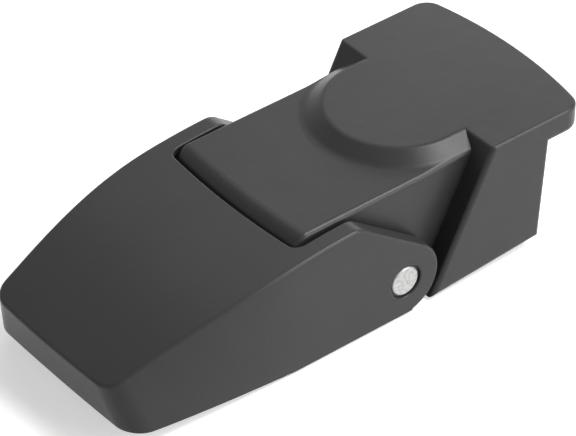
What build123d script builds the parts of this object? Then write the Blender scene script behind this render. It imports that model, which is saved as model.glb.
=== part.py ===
from build123d import *
from math import atan2, cos, degrees, radians, sin, sqrt, tan
import os

# Over-centre compression latch, closed. Millimetres.
# X = 0 is the axis of the pivot shaft, -X points to the lever's tip and +X to the keeper.
# Y = 0 is the plane of symmetry. Z = 0 is the surface that base plate and keeper are screwed to.

# ---- overall ----
width = 44.0
tip_x = -64.2
lip_x = 44.6
plate_z = 28.8
ground_gap = 0.5

# ---- pivots ----
shaft_d = 6.0
shaft_z = 8.0
base_pin_d = 6.0
base_pin_x = 9.5
base_pin_z = 8.6
running = 0.05
open_angle = 80.0

# ---- lever ----
ear_t = 3.7
hub_r = 7.8
ear_slope = 36.3
ear_corner_r = 4.0
lever_z = 25.7
lever_arc_r = 128.0
lever_arc_x = -9.0
lever_wall = 2.8
tip_lean = 13.6
tip_lift = 3.0
taper_x = -26.0
taper_r = 96.0
tip_corner_r = 4.5
tip_bow = 0.4
lever_edge_r = 0.7
ear_edge_r = 0.7
ear_start_x = -13.0
notch_r = 28.9
notch_corner_r = 1.8
notch_bulge = 0.7
notch_edge_r = 0.4
rib_t = 2.0
shaft_inset = 0.2
recess_r = 3.5
recess_edge_r = 0.3
recess_depth = 0.6

# ---- claw ----
side_gap = 0.8
nose_gap = 0.8
nose_r = 2.4
tongue_edge_r = 1.0
tongue_t = 3.0
tongue_rib_z = 21.5
step_h = 2.6
step_run = 3.5
step_x = 16.0
step_foot_r = 3.0
step_top_r = 1.5
claw_wall = 3.0
plate_t = 3.4
ear_gap = 1.1
incline = 63.4
claw_gap = 0.6
claw_rise = 3.7
back_x = 32.8
back_lean = 4.3
lip_t = 5.4
lip_plan_r = 91.0
lip_corner_r = 4.0
lip_edge_r = 1.5
claw_edge_r = 0.6
block_edge_r = 1.0
claw_hub_r = 6.4
claw_inside_r = 1.5
neck_r = 3.0

# ---- base, links and small parts ----
plate_steel = 2.0
base_side_gap = 0.5
base_front_x = -21.0
base_rear_x = 22.2
screw_hole_r = 2.25
screw_dx = 33.0
screw_edge = 4.0
screw_cx = 1.0
lug_r = 5.0
lug_play = 0.1
pin_side_gap = 0.65
link_t = 4.0
link_r = 5.5
bush_wall = 0.8
flange_t = 0.5
spacer_wall = 0.9
side_spacer_wall = 1.5
flat_width = 4.8
lock_pin_r = 1.0
bumper_x = -46.0
bumper_y = 9.0
bumper_r = 4.5
bumper_stem_r = 2.0
foot_gap = 0.2
hook_plate_t = 1.5
hook_plate_h = 12.5
hook_plate_w = 22.0
hook_plate_z = 2.9
hook_corner_r = 1.5
hook_screw_dy = 14.0
hook_screw_rise = 9.6
hook_screw_r = 1.5
hook_head_r = 2.5
hook_head_h = 1.3
hook_screw_depth = 2.0
hook_drive_r = 0.9
keeper_gap = 0.3
keeper_w = 24.0
keeper_top_z = 9.0
keeper_end_x = 41.0
keeper_hole_x = 37.2
keeper_hole_dy = 14.0
keeper_corner_r = 3.0
keeper_bend_r = 0.6
rib_low_z = 6.0
bumper_stem_h = 4.0
shaft_chamfer = 0.2
rivet_r = 1.5
rivet_dx = 6.0
lock_pin_top_z = 12.5
lock_pin_low_z = 0.8
rivet_head_h = 1.0
pin_head_h = 1.4
pin_head_r = 4.4
pin_tail = 2.4
groove_from_end = 1.0
groove_w = 0.8
groove_depth = 0.6
ring_gap = 3.0
plate_corner_r = 3.5
plate_edge_r = 0.4
foot_edge_r = 1.0
foot_taper = 0.9
fit_end = 0.3

# ---- derived ----
half_w = width / 2
ear_in = half_w - ear_t
tongue_half = ear_in - side_gap
neck_in = tongue_half - claw_wall
tongue_z = plate_z - step_h
shaft_r = shaft_d / 2
base_pin_r = base_pin_d / 2
far = 2 * width
base_half_w = neck_in - base_side_gap
screw_dy = 2 * (base_half_w - screw_edge)
link_out_y = neck_in - pin_side_gap - pin_tail - running
link_in_y = link_out_y - link_t
lug_out_y = link_in_y - flange_t - lug_play
lock_pin_y = ear_in + ear_t / 2
pin_end_y = link_out_y + running
pin_tail_y = -pin_end_y - pin_tail
face_off = hub_r + ear_gap
under_tongue_z = tongue_z - tongue_t
claw_ceiling_z = plate_z - plate_t
lip_low_z = plate_z - lip_t


up_from_base = (Align.CENTER, Align.CENTER, Align.MIN)


def slab(face, y_low, y_high):
    """An outline drawn in X and Z, made into a plate between two Y planes."""
    return extrude(Plane.XZ.offset(-y_high) * face, y_high - y_low)


def rod(r, x, z, y_low, y_high):
    """A round bar along Y."""
    return slab(Pos(x, z) * Circle(r), y_low, y_high)


def tube(r_out, r_in, x, z, y_low, y_high):
    """A sleeve along Y."""
    return rod(r_out, x, z, y_low, y_high) - rod(r_in, x, z, y_low, y_high)


def post(r, x, y, z_low, z_high):
    """A round bar along Z."""
    return Pos(x, y, z_low) * Cylinder(r, z_high - z_low, align=up_from_base)


def outline(*points):
    """A face with straight edges through points given as X and Z."""
    return make_face(Polyline(*points, close=True))


def both_sides(part):
    """A part together with its mirror image across the plane of symmetry."""
    return part + mirror(part, Plane.XZ)


# ---- lever ----
def lever_top_z(x):
    """Height of the lever's top: an arc that falls away towards the tip."""
    return lever_z - lever_arc_r + sqrt(lever_arc_r**2 - (x - lever_arc_x) ** 2)


tip_z = lever_top_z(tip_x)
lean = tan(radians(tip_lean))
tip_low_x = tip_x + (tip_z - ground_gap - tip_lift) * lean
plan_low_z = 0.0
plan_high_z = lever_z + 1.0


def taper_drop(x):
    """How far the lever's upper flank has curved inwards at a place along it."""
    return taper_r - sqrt(taper_r**2 - (x - taper_x) ** 2)


def lever_front_x(z):
    """X of the lever's leaning front at a height."""
    return tip_x + (tip_z - z) * lean


def closed_plan(flank, z):
    """A plan outline from the flank on one side, its mirror image, a bowed front and a straight
    back.
    """
    beside = flank @ 0
    ahead = flank @ 1
    side = Line((hub_r + 1, beside.Y), (beside.X, beside.Y))
    front = ThreePointArc((ahead.X, ahead.Y), (ahead.X - tip_bow, 0), (ahead.X, -ahead.Y))
    back = Line((hub_r + 1, -beside.Y), (hub_r + 1, beside.Y))
    half = [side, flank]
    return Pos(0, 0, z) * make_face(half + [front] + [mirror(edge, Plane.XZ) for edge in half] + [back])


def low_plan(inset):
    """Plan of the lever at its foot, where the flanks run straight to the tip."""
    side = half_w - inset
    flank = Line((taper_x, side), (lever_front_x(plan_low_z) + inset, side))
    return closed_plan(flank, plan_low_z)


def high_plan(inset):
    """Plan of the lever above its top, where the flanks follow an arc in towards the tip."""
    front_x = lever_front_x(plan_high_z) + inset
    places = (taper_x, (taper_x + front_x) / 2, front_x)
    flank = ThreePointArc(*[(x, half_w - inset - taper_drop(x)) for x in places])
    return closed_plan(flank, plan_high_z)


def top_arc(x_from, x_to, drop):
    """The lever's top line, lowered by a drop."""
    xs = (x_from, (x_from + x_to) / 2, x_to)
    return ThreePointArc(*[(x, lever_top_z(x) - drop) for x in xs])


def lever_walls(inset):
    """The lever's flared sides and leaning front, drawn in by an inset, with rounded corners."""
    walls = loft([low_plan(inset), high_plan(inset)], ruled=True)
    upright = [e for e in walls.edges() if e.bounding_box().size.Z > lever_z]
    corners = [e for e in upright if e.center().X < (tip_x + taper_x) / 2]
    return fillet(corners, tip_corner_r - inset)


def lever_block():
    """The lever's outer form: its side outline, cut to its flared walls."""
    foot_x = sqrt(hub_r**2 - (shaft_z - ground_gap) ** 2)
    up = radians(90 - ear_slope)
    hub_top = (hub_r * cos(up), shaft_z + hub_r * sin(up))
    top_x = hub_top[0] - (lever_z - hub_top[1]) / tan(radians(ear_slope))
    beyond_x = tip_x - rib_low_z
    rise = tip_lift / (taper_x - tip_low_x)
    low_z = ground_gap + rise * (taper_x - beyond_x)
    side = make_face([
        Line((taper_x, ground_gap), (foot_x, ground_gap)),
        ThreePointArc((foot_x, ground_gap), (hub_r, shaft_z), hub_top),
        Line(hub_top, (top_x, lever_top_z(top_x))),
        top_arc(top_x, beyond_x, 0),
        Line((beyond_x, lever_top_z(beyond_x)), (beyond_x, low_z)),
        Line((beyond_x, low_z), (taper_x, ground_gap)),
    ])
    ear_corner = side.vertices().sort_by_distance((top_x, lever_top_z(top_x)))[0]
    return slab(fillet(ear_corner, ear_corner_r), -width, width) & lever_walls(0)


def barrel(r, half, corner_r=0):
    """A barrel about the shaft's axis, fuller in the middle: what the claw's nose sweeps."""
    face = make_face([
        Line((-half, 0), (half, 0)),
        Line((half, 0), (half, r - notch_bulge)),
        ThreePointArc((half, r - notch_bulge), (0, r), (-half, r - notch_bulge)),
        Line((-half, r - notch_bulge), (-half, 0)),
    ])
    if corner_r:
        face = fillet(face.vertices().filter_by(lambda v: v.Y > r / 2), corner_r)
    return Pos(0, 0, shaft_z) * revolve(Plane.YZ * face, Axis.Y)


def under_top(drop, low_z):
    """The space under the lever's top line, from the notch to the tip."""
    start_x = -half_w
    face = make_face([
        top_arc(start_x, tip_x, drop),
        Line((tip_x, lever_top_z(tip_x) - drop), (tip_x, low_z)),
        Line((tip_x, low_z), (start_x, low_z)),
        Line((start_x, low_z), (start_x, lever_top_z(start_x) - drop)),
    ])
    return face


def lever_hollow():
    """The space under the lever: inside its walls, and ahead of the curved wall at the notch."""
    inside = slab(under_top(lever_wall, -lever_wall), -half_w, half_w) & lever_walls(lever_wall)
    return inside - barrel(notch_r + lever_wall, half_w)


def lever_ribs():
    """Two ribs along the hollow, each thickened into a boss for a bumper."""
    side = under_top(lever_wall / 2, rib_low_z)
    rib = slab(side, bumper_y - rib_t / 2, bumper_y + rib_t / 2)
    rib += post(bumper_r, bumper_x, bumper_y, rib_low_z, lever_z)
    ribs = both_sides(rib) & lever_walls(lever_wall / 2) & slab(side, -half_w, half_w)
    return ribs - barrel(notch_r + lever_wall / 2, half_w)


def round_outside(block):
    """The lever's outer edges: well rounded along the top and the tip, finely round the ears."""
    ahead = Pos(ear_start_x, 0, 0) * Box(
        far, far, far, align=(Align.MAX, Align.CENTER, Align.CENTER)
    )
    grip = block & ahead
    high = [e for e in grip.edges() if e.bounding_box().min.Z > tip_z - lever_edge_r]
    grip = fillet([e for e in high if e.center().X < ear_start_x - running], lever_edge_r)
    ears = block - ahead
    sides = [e for e in ears.edges() if abs(e.center().Y) > half_w - running]
    rims = [e for e in sides if e.center().X > ear_start_x + running and e.center().Z > shaft_z]
    return grip + fillet(rims, ear_edge_r)


def make_lever():
    """A hollow casting, open below: grip, notch for the claw's tongue and two ears."""
    body = round_outside(lever_block())
    body -= lever_hollow()
    body += lever_ribs()
    body -= barrel(notch_r, ear_in, notch_corner_r)
    inner = [e for e in body.edges() if abs(e.center().Y) < ear_in + running]
    high = [e for e in inner if e.bounding_box().min.Z > lever_z - lever_wall]
    body = fillet([e for e in high if e.center().X > -notch_r], notch_edge_r)
    ear_cut = rod(shaft_r, 0, shaft_z, ear_in, half_w)
    ear_cut += rod(recess_r, 0, shaft_z, half_w - recess_depth, half_w)
    ear_cut += post(lock_pin_r, 0, lock_pin_y, 0, lock_pin_top_z + fit_end)
    stem_hole = post(bumper_stem_r, bumper_x, bumper_y, 0, rib_low_z + bumper_stem_h)
    body -= both_sides(ear_cut) + both_sides(stem_hole)
    circles = body.edges().filter_by(GeomType.CIRCLE)
    outer = [e for e in circles if abs(e.center().Y) > half_w - running]
    return fillet([e for e in outer if abs(e.radius - recess_r) < running], recess_edge_r)


# ---- claw ----
def incline_x(z, distance):
    """X at a height of a plane along the claw's inclined face, at a distance from the shaft."""
    return distance / sin(radians(incline)) + (z - shaft_z) / tan(radians(incline))


claw_front_x = incline_x(claw_gap, face_off)
back_low_z = claw_gap + (back_x - claw_front_x) * tan(radians(claw_rise))


def back_wall_x(z, inset):
    """X at a height of the claw's leaning back wall, drawn in by an inset."""
    reach = (z - back_low_z) * tan(radians(back_lean))
    return back_x + reach - inset / cos(radians(back_lean))


def claw_block():
    """The claw's block and finger lip: a side outline cut to a plan with a curved rear edge."""
    side = outline(
        (claw_front_x, claw_gap),
        (back_x, back_low_z),
        (back_wall_x(lip_low_z, 0), lip_low_z),
        (lip_x, lip_low_z),
        (lip_x, plate_z),
        (incline_x(plate_z, face_off), plate_z),
    )
    end_x = lip_x - lip_plan_r + sqrt(lip_plan_r**2 - half_w**2)
    plan = make_face([
        Line((0, half_w), (end_x, half_w)),
        ThreePointArc((end_x, half_w), (lip_x, 0), (end_x, -half_w)),
        Line((end_x, -half_w), (0, -half_w)),
        Line((0, -half_w), (0, half_w)),
    ])
    plan = fillet(plan.vertices().group_by(Axis.X)[-1], lip_corner_r)
    block = slab(side, -half_w, half_w) & extrude(plan, plate_z)
    low_rim = [
        e for e in block.edges()
        if abs(e.center().Z - lip_low_z) < running and e.center().X > end_x - lip_corner_r
    ]
    block = fillet(low_rim, lip_edge_r)
    flanks = [e for e in block.edges() if abs(e.center().Y) > half_w - running]
    below_top = [e for e in flanks if e.center().Z < plate_z - running]
    return fillet(below_top, block_edge_r)


def claw_hollow():
    """The space inside the claw's block, open below."""
    inner = face_off + claw_wall
    face = outline(
        (incline_x(-claw_wall, inner), -claw_wall),
        (incline_x(claw_ceiling_z, inner), claw_ceiling_z),
        (back_wall_x(claw_ceiling_z, claw_wall), claw_ceiling_z),
        (back_wall_x(-claw_wall, claw_wall), -claw_wall),
    )
    hollow = slab(face, -half_w + claw_wall, half_w - claw_wall)
    uprights = hollow.edges().filter_by(
        lambda e: abs(e.center().Y) > half_w / 2 and e.length > claw_ceiling_z
    )
    return fillet(uprights, claw_inside_r)


def claw_neck():
    """Tongue and neck walls: from the nose, round the shaft and back into the block."""
    mid = face_off + claw_wall / 2
    hub_low_z = shaft_z - claw_hub_r
    diagonal = claw_hub_r * cos(radians(45))
    face = make_face([
        Line((-far, tongue_z), (incline_x(tongue_z, mid), tongue_z)),
        Line((incline_x(tongue_z, mid), tongue_z), (incline_x(hub_low_z, mid), hub_low_z)),
        Line((incline_x(hub_low_z, mid), hub_low_z), (0, hub_low_z)),
        ThreePointArc((0, hub_low_z), (-diagonal, shaft_z - diagonal), (-claw_hub_r, shaft_z)),
        Line((-claw_hub_r, shaft_z), (-claw_hub_r, tongue_rib_z)),
        Line((-claw_hub_r, tongue_rib_z), (-far, tongue_rib_z)),
        Line((-far, tongue_rib_z), (-far, tongue_z)),
    ])
    inner_corner = face.vertices().filter_by(
        lambda v: abs(v.Y - tongue_rib_z) < running and v.X > -far / 2
    )
    face = fillet(inner_corner, neck_r)
    neck = slab(face, -tongue_half, tongue_half)
    neck &= barrel(notch_r - nose_gap, ear_in) + Pos(far / 2, 0, 0) * Box(far, width, far)
    nose = neck.edges().group_by(Axis.Z)[-1].sort_by(Axis.X)[0]
    return fillet(nose, nose_r)


def neck_passage():
    """The way through between the neck walls for the links, and the hollow behind the nose."""
    depth = under_tongue_z + claw_wall
    front = Pos(0, 0, under_tongue_z) * Box(
        far, 2 * neck_in, depth, align=(Align.MAX, Align.CENTER, Align.MAX)
    )
    front &= barrel(notch_r - nose_gap - claw_wall, half_w)
    rear = Pos(0, 0, under_tongue_z) * Box(
        incline_x(under_tongue_z, face_off + claw_wall), 2 * neck_in, depth,
        align=(Align.MIN, Align.CENTER, Align.MAX),
    )
    return front + rear


def raised_plate():
    """The plate that stands on the tongue: one sloped profile, turned through a half circle and
    carried straight back, with its foot and its top edge rounded.
    """
    low_z = (tongue_z + under_tongue_z) / 2
    foot = (tongue_half, tongue_z)
    shoulder = (tongue_half - step_run, plate_z)
    skirt = tongue_half + step_foot_r * tan(atan2(step_h, step_run) / 2) + running
    face = outline((0, low_z), (skirt, low_z), (skirt, tongue_z), foot, shoulder, (0, plate_z))
    face = fillet(face.vertices().sort_by_distance(foot)[0], step_foot_r)
    face = fillet(face.vertices().sort_by_distance(shoulder)[0], step_top_r)
    end_x = incline_x(tongue_z, face_off + claw_wall / 2)
    run = end_x - step_x
    plate = revolve(Plane.XZ * face, Axis.Z, 360)
    plate += extrude(Plane.YZ * face, run) + extrude(Plane.YZ * mirror(face, Plane.YZ), run)
    within = Box(2 * end_x, 2 * tongue_half, 2 * plate_z)
    return (Pos(step_x, 0, 0) * plate) & within


def claw_tongue():
    """Neck, tongue and raised plate in one, with the long edges and nose corners rounded."""
    body = claw_neck() + raised_plate()
    sides = [e for e in body.edges() if abs(e.center().Y) > tongue_half - running]
    return fillet([e for e in sides if e.bounding_box().min.Z > tongue_z - running], tongue_edge_r)


def make_claw():
    """A hollow casting, open below: block with finger lip, tongue, neck and raised plate."""
    body = claw_block() + claw_tongue()
    block_x = incline_x(plate_z, face_off) - running
    rim = [e for e in body.edges().group_by(Axis.Z)[-1] if e.center().X > block_x]
    body = fillet(rim, claw_edge_r)
    body -= claw_hollow() + neck_passage()
    bush_r = shaft_r + running + bush_wall
    body -= rod(bush_r, 0, shaft_z, -half_w, half_w)
    return body - hook_screw_shanks()


def on_back_wall(part):
    """A part drawn on the inner face of the claw's leaning back wall, moved into place."""
    place = Pos(back_wall_x(hook_plate_z, claw_wall), 0, hook_plate_z) * Rot(0, back_lean, 0)
    return place * part


def hook_screw_spots(part):
    """Copies of a part at the two screws of the hook plate, drawn along X."""
    spots = [Pos(0, side * hook_screw_dy / 2, hook_screw_rise) for side in (-1, 1)]
    return Compound([spot * part for spot in spots])


def bar_along_x(r, x_low, x_high):
    """A round bar along X."""
    return Pos(x_low, 0, 0) * Rot(0, 90, 0) * Cylinder(r, x_high - x_low, align=up_from_base)


def hook_screw_shanks():
    """What the two screws take out of the hook plate and the back wall."""
    shank = bar_along_x(hook_screw_r, -hook_plate_t, hook_screw_depth)
    return on_back_wall(hook_screw_spots(shank))


def make_hook_plate():
    """A steel wear plate inside the claw's back wall: it pulls on the keeper's lip."""
    plate = Box(
        hook_plate_t, hook_plate_w, hook_plate_h, align=(Align.MAX, Align.CENTER, Align.MIN)
    )
    plate = fillet(plate.edges().filter_by(Axis.X), hook_corner_r)
    return on_back_wall(plate) - hook_screw_shanks()


def make_hook_screws():
    """Two low-headed screws that hold the hook plate."""
    head_x = -hook_plate_t - hook_head_h
    head = bar_along_x(hook_head_r, head_x, -hook_plate_t)
    head = chamfer(head.edges().group_by(Axis.X)[0], hook_head_h / 3)
    socket = extrude(RegularPolygon(hook_drive_r, 6), hook_head_h / 2)
    head -= Pos(head_x, 0, 0) * Rot(0, 90, 0) * socket
    screw = head + bar_along_x(hook_screw_r, -hook_plate_t, hook_screw_depth)
    return on_back_wall(hook_screw_spots(screw))


def make_claw_bush():
    """A flanged bush in the claw's neck: it runs on the shaft, its flange beside the ear."""
    bush = tube(shaft_r + running + bush_wall, shaft_r + running, 0, shaft_z, neck_in, tongue_half)
    flange_y = tongue_half + side_gap * 3 / 4
    return bush + tube(claw_hub_r - 1, shaft_r + running, 0, shaft_z, tongue_half, flange_y)


# ---- pivot shaft and what is on it ----
def make_shaft():
    """A bar across both ears, with two flats that turn the links with it."""
    end_y = half_w - shaft_inset
    shaft = rod(shaft_r, 0, shaft_z, -end_y, end_y)
    shaft = chamfer(shaft.edges().filter_by(GeomType.CIRCLE), shaft_chamfer)
    flat = Box(shaft_d, 2 * link_out_y, shaft_d, align=up_from_base)
    shaft -= Pos(0, 0, shaft_z + flat_width / 2) * flat
    shaft -= Pos(0, 0, shaft_z - flat_width / 2 - shaft_d) * flat
    return shaft - both_sides(post(lock_pin_r, 0, lock_pin_y, 0, 2 * shaft_z))


def make_lock_pin():
    """A slotted spring pin, driven up through an ear and the shaft."""
    length = lock_pin_top_z - lock_pin_low_z
    pin = Cylinder(lock_pin_r, length, align=up_from_base)
    pin -= Cylinder(lock_pin_r / 2, length, align=up_from_base)
    pin -= Box(2 * lock_pin_r, lock_pin_r / 2, length, align=(Align.MIN, Align.CENTER, Align.MIN))
    return Pos(0, lock_pin_y, lock_pin_low_z) * pin


def make_centre_spacer():
    """Keeps the two links apart on the shaft."""
    r_in = shaft_r + running
    return tube(r_in + spacer_wall, r_in, 0, shaft_z, -link_in_y, link_in_y)


def make_side_spacer():
    """Keeps a link away from the claw's neck."""
    r_in = shaft_r + running
    return tube(r_in + side_spacer_wall, r_in, 0, shaft_z, link_out_y, neck_in - running)


# ---- links and base pin ----
def make_link():
    """A flat steel link, keyed on the shaft and running on the base pin."""
    drop = base_pin_z - shaft_z
    reach = sqrt(base_pin_x**2 + drop**2)
    shank = Pos(reach / 2, 0) * Rectangle(reach, 2 * link_r)
    face = Circle(link_r) + Pos(base_pin_x, drop) * Circle(link_r)
    face += Rot(0, 0, degrees(atan2(drop, base_pin_x))) * shank
    face -= Circle(shaft_r) & Rectangle(shaft_d, flat_width)
    face -= Pos(base_pin_x, drop) * Circle(base_pin_r + running + bush_wall)
    return slab(Pos(0, shaft_z) * face, link_in_y, link_out_y)


def make_link_bush():
    """A flanged bush in a link: it runs on the base pin, its flange beside the lug."""
    r_in = base_pin_r + running
    bush = tube(r_in + bush_wall, r_in, base_pin_x, base_pin_z, link_in_y, link_out_y)
    return bush + tube(lug_r, r_in, base_pin_x, base_pin_z, link_in_y - flange_t, link_in_y)


def ring_groove(r_out):
    """The ring that fills the base pin's groove, out to a radius."""
    low_y = pin_tail_y + groove_from_end
    r_in = base_pin_r - groove_depth
    return tube(r_out, r_in, base_pin_x, base_pin_z, low_y, low_y + groove_w)


def make_base_pin():
    """A headed pin through both lugs and both links, grooved for a ring."""
    pin = rod(base_pin_r, base_pin_x, base_pin_z, pin_tail_y, pin_end_y)
    pin += rod(pin_head_r, base_pin_x, base_pin_z, pin_end_y, pin_end_y + pin_head_h)
    pin -= ring_groove(pin_head_r)
    return chamfer(pin.edges().filter_by(GeomType.CIRCLE).group_by(Axis.Y)[0], plate_edge_r)


def make_base_pin_ring():
    """A retaining ring snapped into the base pin's groove."""
    gap = Box(far, ring_gap, ring_gap, align=(Align.MAX, Align.CENTER, Align.CENTER))
    return ring_groove(pin_head_r) - Pos(base_pin_x, pin_tail_y + groove_from_end, base_pin_z) * gap


# ---- base ----
def rivet_spots(part):
    """Copies of a part at the two rivets."""
    spots = [Pos(base_pin_x + side * rivet_dx / 2, 0, 0) for side in (-1, 1)]
    return Compound([spot * part for spot in spots])


def make_base_plate():
    """A stamped plate with rounded corners, four screw holes and two rivet holes."""
    face = RectangleRounded(base_rear_x - base_front_x, 2 * base_half_w, plate_corner_r)
    plate = extrude(Pos((base_rear_x + base_front_x) / 2, 0) * face, plate_steel)
    plate = chamfer(plate.edges().group_by(Axis.Z)[-1], plate_edge_r)
    for spot in GridLocations(screw_dx, screw_dy, 2, 2):
        plate -= Pos(screw_cx, 0, 0) * spot * post(screw_hole_r, 0, 0, 0, plate_steel)
    return plate - rivet_spots(post(rivet_r, 0, 0, 0, plate_steel))


def make_bracket():
    """A steel U on the base plate: its two lugs hold the base pin."""
    height = base_pin_z - plate_steel
    lug = Pos(base_pin_x, base_pin_z) * Circle(lug_r)
    lug += Pos(base_pin_x, plate_steel + height / 2) * Rectangle(2 * lug_r, height)
    bracket = slab(lug, -lug_out_y, lug_out_y)
    bend = bracket.edges().filter_by(Axis.X).group_by(Axis.Z)[0]
    bracket = fillet(bend, plate_steel / 2)
    between = Box(far, 2 * (lug_out_y - plate_steel), far, align=up_from_base)
    bracket -= Pos(base_pin_x, 0, 2 * plate_steel) * between
    bracket -= rod(base_pin_r, base_pin_x, base_pin_z, -lug_out_y, lug_out_y)
    return bracket - rivet_spots(post(rivet_r, 0, 0, 0, far))


def make_rivets():
    """Two rivets through bracket and plate, flush underneath."""
    head = post(rivet_r + rivet_head_h, 0, 0, 2 * plate_steel, 2 * plate_steel + rivet_head_h)
    head = chamfer(head.edges().group_by(Axis.Z)[-1], rivet_head_h / 2)
    return rivet_spots(head + post(rivet_r, 0, 0, fit_end, 2 * plate_steel))


def make_keeper():
    """A bent steel strip: its flange is screwed down, its lip stands up inside the claw."""
    rear = claw_wall + hook_plate_t + keeper_gap
    front = rear + plate_steel
    face = outline(
        (back_wall_x(0, front), 0),
        (keeper_end_x, 0),
        (keeper_end_x, plate_steel),
        (back_wall_x(plate_steel, rear), plate_steel),
        (back_wall_x(keeper_top_z, rear), keeper_top_z),
        (back_wall_x(keeper_top_z, front), keeper_top_z),
    )
    outer_bend = face.vertices().sort_by(Axis.X)[0]
    face = fillet(outer_bend, keeper_bend_r + plate_steel)
    inner_bend = face.vertices().sort_by_distance((back_wall_x(plate_steel, rear), plate_steel))[0]
    face = fillet(inner_bend, keeper_bend_r)
    keeper = slab(face, -keeper_w / 2, keeper_w / 2)
    corners = keeper.edges().filter_by(Axis.Z).group_by(Axis.X)[-1]
    keeper = fillet(corners, keeper_corner_r)
    return keeper - both_sides(
        post(screw_hole_r, keeper_hole_x, keeper_hole_dy / 2, 0, plate_steel)
    )


# ---- bumper ----
def make_bumper():
    """A rubber foot with a stem pushed into a boss under the lever."""
    reach = rib_low_z - foot_gap
    foot = Cone(bumper_r - 2 * foot_taper, bumper_r - foot_taper / 2, reach, align=up_from_base)
    foot = chamfer((Pos(0, 0, foot_gap) * foot).edges().group_by(Axis.Z)[0], foot_edge_r)
    stem = post(bumper_stem_r, 0, 0, rib_low_z, rib_low_z + bumper_stem_h - fit_end)
    return Pos(bumper_x, bumper_y, 0) * (foot + stem)


def pair(name, part):
    """Left and right nodes from the part drawn on the left, at +Y."""
    return {name + "_left": part, name + "_right": mirror(part, Plane.XZ)}


def main():
    """Write one STEP file for each node."""
    nodes = {
        "lever": make_lever(),
        "claw": make_claw(),
        "pivot_shaft": make_shaft(),
        "centre_spacer": make_centre_spacer(),
        "base_plate": make_base_plate(),
        "pivot_bracket": make_bracket(),
        "bracket_rivets": make_rivets(),
        "base_pin": make_base_pin(),
        "base_pin_ring": make_base_pin_ring(),
        "hook_plate": make_hook_plate(),
        "hook_plate_screws": make_hook_screws(),
        "keeper": make_keeper(),
    }
    nodes.update(pair("crank_link", make_link()))
    nodes.update(pair("link_bush", make_link_bush()))
    nodes.update(pair("side_spacer", make_side_spacer()))
    nodes.update(pair("claw_bush", make_claw_bush()))
    nodes.update(pair("shaft_lock_pin", make_lock_pin()))
    nodes.update(pair("lever_bumper", make_bumper()))
    os.makedirs("parts", exist_ok=True)
    for name, part in nodes.items():
        export_step(part, "parts/" + name + ".step")


if __name__ == "__main__":
    main()
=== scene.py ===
import math

import bpy
import numpy as np
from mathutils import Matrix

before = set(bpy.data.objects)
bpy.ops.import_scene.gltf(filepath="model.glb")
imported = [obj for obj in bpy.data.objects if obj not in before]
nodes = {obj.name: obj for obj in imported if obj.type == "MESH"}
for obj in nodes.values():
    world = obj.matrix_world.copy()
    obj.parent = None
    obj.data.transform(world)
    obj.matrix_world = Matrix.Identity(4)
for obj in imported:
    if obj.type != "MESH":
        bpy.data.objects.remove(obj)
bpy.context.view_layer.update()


# ---- Lever and claw ----
# The two hollow zinc die castings of the latch: the lever with its tip, and the claw with its
# finger lip and tongue. Both are powder-coated in a satin black that flows round the edges and
# keeps the fine dry grain of the powder.
def start_finish(name):
    """An empty finish: the material, its node tree, its shader, and Object coordinates."""
    material = bpy.data.materials.new(name)
    material.use_nodes = True
    tree = material.node_tree
    shader = tree.nodes["Principled BSDF"]
    place = tree.nodes.new("ShaderNodeTexCoord").outputs["Object"]
    return material, tree, shader, place


def grain(tree, place, size, detail=2.0, shift=0.0, stretch=(1, 1, 1)):
    """Noise with blotches about size metres across: its scale is 1 / size, shift slides the
    pattern along, and a small number in stretch draws it out along that axis.
    """
    mapping = tree.nodes.new("ShaderNodeMapping")
    mapping.inputs["Location"].default_value = (shift, shift, shift)
    mapping.inputs["Scale"].default_value = stretch
    noise = tree.nodes.new("ShaderNodeTexNoise")
    noise.inputs["Scale"].default_value = 1 / size
    noise.inputs["Detail"].default_value = detail
    tree.links.new(place, mapping.inputs["Vector"])
    tree.links.new(mapping.outputs["Vector"], noise.inputs["Vector"])
    return noise.outputs["Fac"]


def between(tree, value, span, target=(0, 1)):
    """A value read over the span and written over the target, held at both ends."""
    ramp = tree.nodes.new("ShaderNodeMapRange")
    ramp.inputs["From Min"].default_value, ramp.inputs["From Max"].default_value = span
    ramp.inputs["To Min"].default_value, ramp.inputs["To Max"].default_value = target
    tree.links.new(value, ramp.inputs["Value"])
    return ramp.outputs["Result"]


def mix_colours(tree, amount, first, second):
    """Two colours mixed by an amount: each colour is three numbers or another node's output."""
    mix = tree.nodes.new("ShaderNodeMix")
    mix.data_type = "RGBA"
    tree.links.new(amount, mix.inputs["Factor"])
    for colour, socket in ((first, mix.inputs[6]), (second, mix.inputs[7])):
        if isinstance(colour, tuple):
            socket.default_value = (*colour, 1)
        else:
            tree.links.new(colour, socket)
    return mix.outputs[2]


def colour_it(tree, shader, amount, first, second):
    """The shader's colour: two colours mixed by an amount."""
    tree.links.new(mix_colours(tree, amount, first, second), shader.inputs["Base Color"])


def roughen(tree, shader, value, span, roughness):
    """The shader's roughness: a value read over its span and written over the roughness."""
    tree.links.new(between(tree, value, span, roughness), shader.inputs["Roughness"])


def raise_skin(tree, shader, *layers):
    """Bump from several heights: each layer is (height, depth in metres), laid over the last."""
    normal = None
    for height, depth in layers:
        bump = tree.nodes.new("ShaderNodeBump")
        bump.inputs["Distance"].default_value = depth
        tree.links.new(height, bump.inputs["Height"])
        if normal is not None:
            tree.links.new(normal, bump.inputs["Normal"])
        normal = bump.outputs["Normal"]
    tree.links.new(normal, shader.inputs["Normal"])


def put_on(material, *names):
    """The finish goes into the material slot of each named node."""
    for name in names:
        nodes[name].material_slots[0].material = material


whole_span = (0, 1)
noise_span = (0.3, 0.7)

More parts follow.
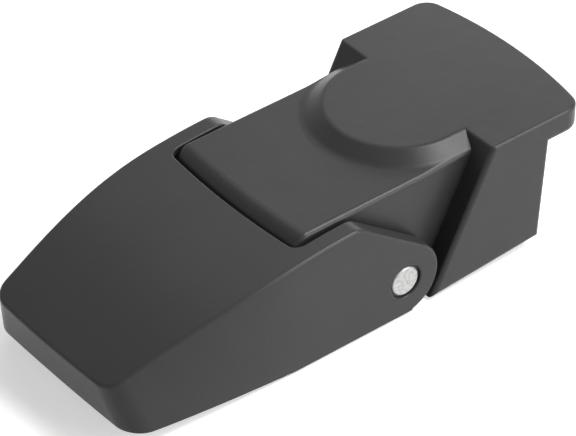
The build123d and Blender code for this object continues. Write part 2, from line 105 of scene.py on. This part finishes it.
coat_dark = (0.0275, 0.0275, 0.0280)
coat_pale = (0.0310, 0.0310, 0.0315)
coat_fleck = (0.037, 0.037, 0.037)
coat_gloss = 0.25
coat_roughness = (0.30, 0.36)
cloud_size = 0.012
powder_size, powder_depth = 0.00022, 0.000012
fleck_size = 0.00030
fleck_span = (0.66, 0.74)
flow_size, flow_depth = 0.0030, 0.00003

coat, tree, shader, place = start_finish("black_powder_coat")
shader.inputs["Specular IOR Level"].default_value = coat_gloss
cloud = between(tree, grain(tree, place, cloud_size, detail=3.0), noise_span)
powder = grain(tree, place, powder_size, shift=3.0)
flecks = between(tree, grain(tree, place, fleck_size, detail=1.0, shift=7.0), fleck_span)
colour_it(tree, shader, flecks, mix_colours(tree, cloud, coat_dark, coat_pale), coat_fleck)
roughen(tree, shader, powder, noise_span, coat_roughness)
flow = grain(tree, place, flow_size, detail=1.0, shift=5.0)
raise_skin(tree, shader, (flow, flow_depth), (powder, powder_depth))
put_on(coat, "lever", "claw")


# ---- Pivot shaft ----
# A bar of ground stainless steel across both ears. Its cropped end shows in the ear: bright,
# matt and faintly mottled from tumbling.
shaft_dull = (0.35, 0.35, 0.345)
shaft_bright = (0.51, 0.51, 0.50)
shaft_roughness = (0.38, 0.56)
patch_span = (0.35, 0.65)
mottle_size = 0.0007
scuff_size = 0.0004
dent_size, dent_depth = 0.00045, 0.00002

steel, tree, shader, place = start_finish("tumbled_steel")
shader.inputs["Metallic"].default_value = 1.0
mottle = between(tree, grain(tree, place, mottle_size, detail=3.0), patch_span)
colour_it(tree, shader, mottle, shaft_dull, shaft_bright)
roughen(tree, shader, grain(tree, place, scuff_size, shift=2.0), noise_span, shaft_roughness)
raise_skin(tree, shader, (grain(tree, place, dent_size, detail=3.0, shift=4.0), dent_depth))
put_on(steel, "pivot_shaft")


# ---- Lock pins and ring ----
# Rolled pins and a retaining ring of spring steel, blackened and oiled. The pins are driven
# through the ears and the shaft, and the ring snaps into the groove of the base pin.
spring_dark = (0.06, 0.062, 0.07)
spring_pale = (0.15, 0.15, 0.16)
spring_roughness = (0.26, 0.42)
patch_size = 0.0011
oil_size = 0.0005
scale_size, scale_depth = 0.0003, 0.00001

spring, tree, shader, place = start_finish("oiled_spring_steel")
shader.inputs["Metallic"].default_value = 1.0
patch = between(tree, grain(tree, place, patch_size, detail=3.0), patch_span)
colour_it(tree, shader, patch, spring_dark, spring_pale)
roughen(tree, shader, grain(tree, place, oil_size, shift=2.0), noise_span, spring_roughness)
raise_skin(tree, shader, (grain(tree, place, scale_size, shift=4.0), scale_depth))
put_on(spring, "shaft_lock_pin_left", "shaft_lock_pin_right", "base_pin_ring")


# ---- Plated steel ----
# Stamped and turned steel, zinc-plated with a clear passivation: base plate, bracket, rivets,
# links, spacers, base pin, hook plate with its screws, and keeper.
zinc_blue = (0.42, 0.44, 0.47)
zinc_straw = (0.53, 0.52, 0.47)
zinc_pale = (0.60, 0.61, 0.62)
zinc_roughness = (0.26, 0.44)
tint_size = 0.006
spangle_size = 0.0012
haze_size = 0.0009
brush_size, brush_depth = 0.00022, 0.000006
brush_stretch = (1, 0.1, 1)
pit_size, pit_depth = 0.0008, 0.000008

plating, tree, shader, place = start_finish("zinc_plating")
shader.inputs["Metallic"].default_value = 1.0
tint = between(tree, grain(tree, place, tint_size, detail=3.0), noise_span)
spangle = between(tree, grain(tree, place, spangle_size, detail=4.0, shift=3.0), noise_span)
colour_it(tree, shader, spangle, mix_colours(tree, tint, zinc_blue, zinc_straw), zinc_pale)
haze = grain(tree, place, haze_size, detail=3.0, shift=6.0)
roughen(tree, shader, haze, noise_span, zinc_roughness)
brushed = grain(tree, place, brush_size, shift=9.0, stretch=brush_stretch)
pits = grain(tree, place, pit_size, shift=4.0)
raise_skin(tree, shader, (brushed, brush_depth), (pits, pit_depth))
put_on(
    plating, "base_plate", "pivot_bracket", "bracket_rivets", "base_pin", "keeper", "hook_plate",
    "hook_plate_screws", "centre_spacer", "side_spacer_left", "side_spacer_right",
    "crank_link_left", "crank_link_right",
)


# ---- Bushes ----
# Sintered bronze, brown-gold, with open pores that hold oil. Each is pressed into its claw wall
# or link, with a flange beside it.
bronze_brown = (0.36, 0.20, 0.085)
bronze_gold = (0.50, 0.31, 0.14)
pore_dark = (0.07, 0.04, 0.02)
pore_roughness = (0.75, 0.40)
pore_span = (0.30, 0.42)
warmth_size = 0.0015
pore_size, pore_depth = 0.00022, 0.00002

bronze, tree, shader, place = start_finish("sintered_bronze")
shader.inputs["Metallic"].default_value = 1.0
pores = between(tree, grain(tree, place, pore_size, shift=1.0), pore_span)
warmth = between(tree, grain(tree, place, warmth_size, detail=3.0), noise_span)
colour_it(tree, shader, pores, pore_dark, mix_colours(tree, warmth, bronze_brown, bronze_gold))
roughen(tree, shader, pores, whole_span, pore_roughness)
raise_skin(tree, shader, (pores, pore_depth))
put_on(bronze, "claw_bush_left", "claw_bush_right", "link_bush_left", "link_bush_right")


# ---- Bumpers ----
# Moulded black rubber feet, matt, with a fine bloom. Each stem is pushed into a boss under the
# lever.
rubber_dark = (0.016, 0.016, 0.017)
rubber_bloom = (0.040, 0.040, 0.041)
bloom_roughness = (0.62, 0.84)
bloom_span = (0.35, 0.7)
bloom_size = 0.0016
mould_size, mould_depth = 0.0002, 0.000015

rubber, tree, shader, place = start_finish("moulded_rubber")
bloom = between(tree, grain(tree, place, bloom_size, detail=4.0), bloom_span)
colour_it(tree, shader, bloom, rubber_dark, rubber_bloom)
roughen(tree, shader, bloom, whole_span, bloom_roughness)
raise_skin(tree, shader, (grain(tree, place, mould_size, detail=3.0, shift=2.0), mould_depth))
put_on(rubber, "lever_bumper_left", "lever_bumper_right")


# ---- Floor ----
# A large sheet of plain white paper under the latch. Where it is seen it adds a glow of its own
# to the light that falls on it, so it is white with only the latch's soft shadow left on it.
def add_mesh(name, points, faces):
    """A mesh object at the origin from an array of points and an array of faces."""
    mesh = bpy.data.meshes.new(name)
    mesh.from_pydata(points.tolist(), [], faces.tolist())
    item = bpy.data.objects.new(name, mesh)
    bpy.context.scene.collection.objects.link(item)
    return item


def seen_directly(tree):
    """1 for rays from the camera and for mirror and see-through rays, 0 for light passed on."""
    path = tree.nodes.new("ShaderNodeLightPath")
    total = path.outputs["Is Camera Ray"]
    for other in ("Is Glossy Ray", "Is Transmission Ray"):
        highest = tree.nodes.new("ShaderNodeMath")
        highest.operation = "MAXIMUM"
        tree.links.new(total, highest.inputs[0])
        tree.links.new(path.outputs[other], highest.inputs[1])
        total = highest.outputs[0]
    return total


floor_half = 6.0
floor_z = -0.0001
paper_white = 0.86
paper_glow = 0.55

corners = floor_half * np.array([(-1, -1, 0), (1, -1, 0), (1, 1, 0), (-1, 1, 0)], float)
corners[:, 2] = floor_z
floor = add_mesh("floor", corners, np.array([[0, 1, 2, 3]]))

paper = bpy.data.materials.new("white_paper")
paper.use_nodes = True
tree = paper.node_tree
tree.nodes.clear()
matt = tree.nodes.new("ShaderNodeBsdfDiffuse")
matt.inputs["Color"].default_value = (paper_white, paper_white, paper_white, 1)
glow = tree.nodes.new("ShaderNodeEmission")
both = tree.nodes.new("ShaderNodeAddShader")
out = tree.nodes.new("ShaderNodeOutputMaterial")
glow_strength = between(tree, seen_directly(tree), whole_span, (0, paper_glow))
tree.links.new(glow_strength, glow.inputs["Strength"])
tree.links.new(matt.outputs[0], both.inputs[0])
tree.links.new(glow.outputs[0], both.inputs[1])
tree.links.new(both.outputs[0], out.inputs["Surface"])
floor.data.materials.append(paper)


# ---- Light ----
# A white room that gives little light itself. On the pin's side the key box hangs high and the
# side box stands low. Two small boxes are close on the far side, one low behind the claw and
# one high, for the soft sheen of the flat tops.
room_light = 0.10
room_seen = 1.0

world = bpy.data.worlds.new("studio")
world.use_nodes = True
tree = world.node_tree
room = tree.nodes["Background"]
room.inputs["Color"].default_value = (1, 1, 1, 1)
room_strength = between(tree, seen_directly(tree), whole_span, (room_light, room_seen))
tree.links.new(room_strength, room.inputs["Strength"])
bpy.context.scene.world = world


def soft_box(name, towards, away, size, brightness):
    """A square area lamp that faces the latch, from a direction and a distance. Its power is the
    brightness of its face times pi and its area.
    """
    lamp = bpy.data.lights.new(name, "AREA")
    lamp.shape = "SQUARE"
    lamp.size = size
    lamp.energy = brightness * math.pi * size**2
    item = bpy.data.objects.new(name, lamp)
    bpy.context.scene.collection.objects.link(item)
    way = np.array(towards, float)
    way /= np.linalg.norm(way)
    item.location = way * away
    level = math.hypot(way[0], way[1])
    item.rotation_euler = (math.atan2(level, way[2]), 0, math.atan2(way[0], -way[1]))
    item.visible_camera = False


soft_box("key_box", towards=(0.43, -0.35, 0.83), away=0.80, size=0.39, brightness=12.6)
soft_box("side_box", towards=(0.46, -0.83, 0.30), away=0.80, size=0.50, brightness=4.6)
soft_box("back_box", towards=(0.75, 0.57, 0.34), away=0.35, size=0.18, brightness=1.7)
soft_box("rim_box", towards=(0.18, 0.46, 0.87), away=0.35, size=0.20, brightness=0.75)


# ---- Camera ----
# A long lens with no roll or shift. It stands beyond the lever's tip on the pin's side and looks
# down on the latch.
aim = np.array((-0.00337, 0.00816, 0.00599))
azimuth = math.radians(-38.94)
elevation = math.radians(38.37)
distance = 0.690
lens_mm = 230.4
film_mm = 36.0
nearest = 0.01

lens = bpy.data.cameras.new("camera")
lens.lens = lens_mm
lens.sensor_width = film_mm
lens.clip_start = nearest
camera = bpy.data.objects.new("camera", lens)
bpy.context.scene.collection.objects.link(camera)
camera.location = aim + distance * np.array((
    math.sin(azimuth) * math.cos(elevation),
    -math.cos(azimuth) * math.cos(elevation),
    math.sin(elevation),
))
camera.rotation_euler = (math.pi / 2 - elevation, 0, azimuth)
bpy.context.scene.camera = camera
bpy.context.scene.view_settings.view_transform = "Standard"
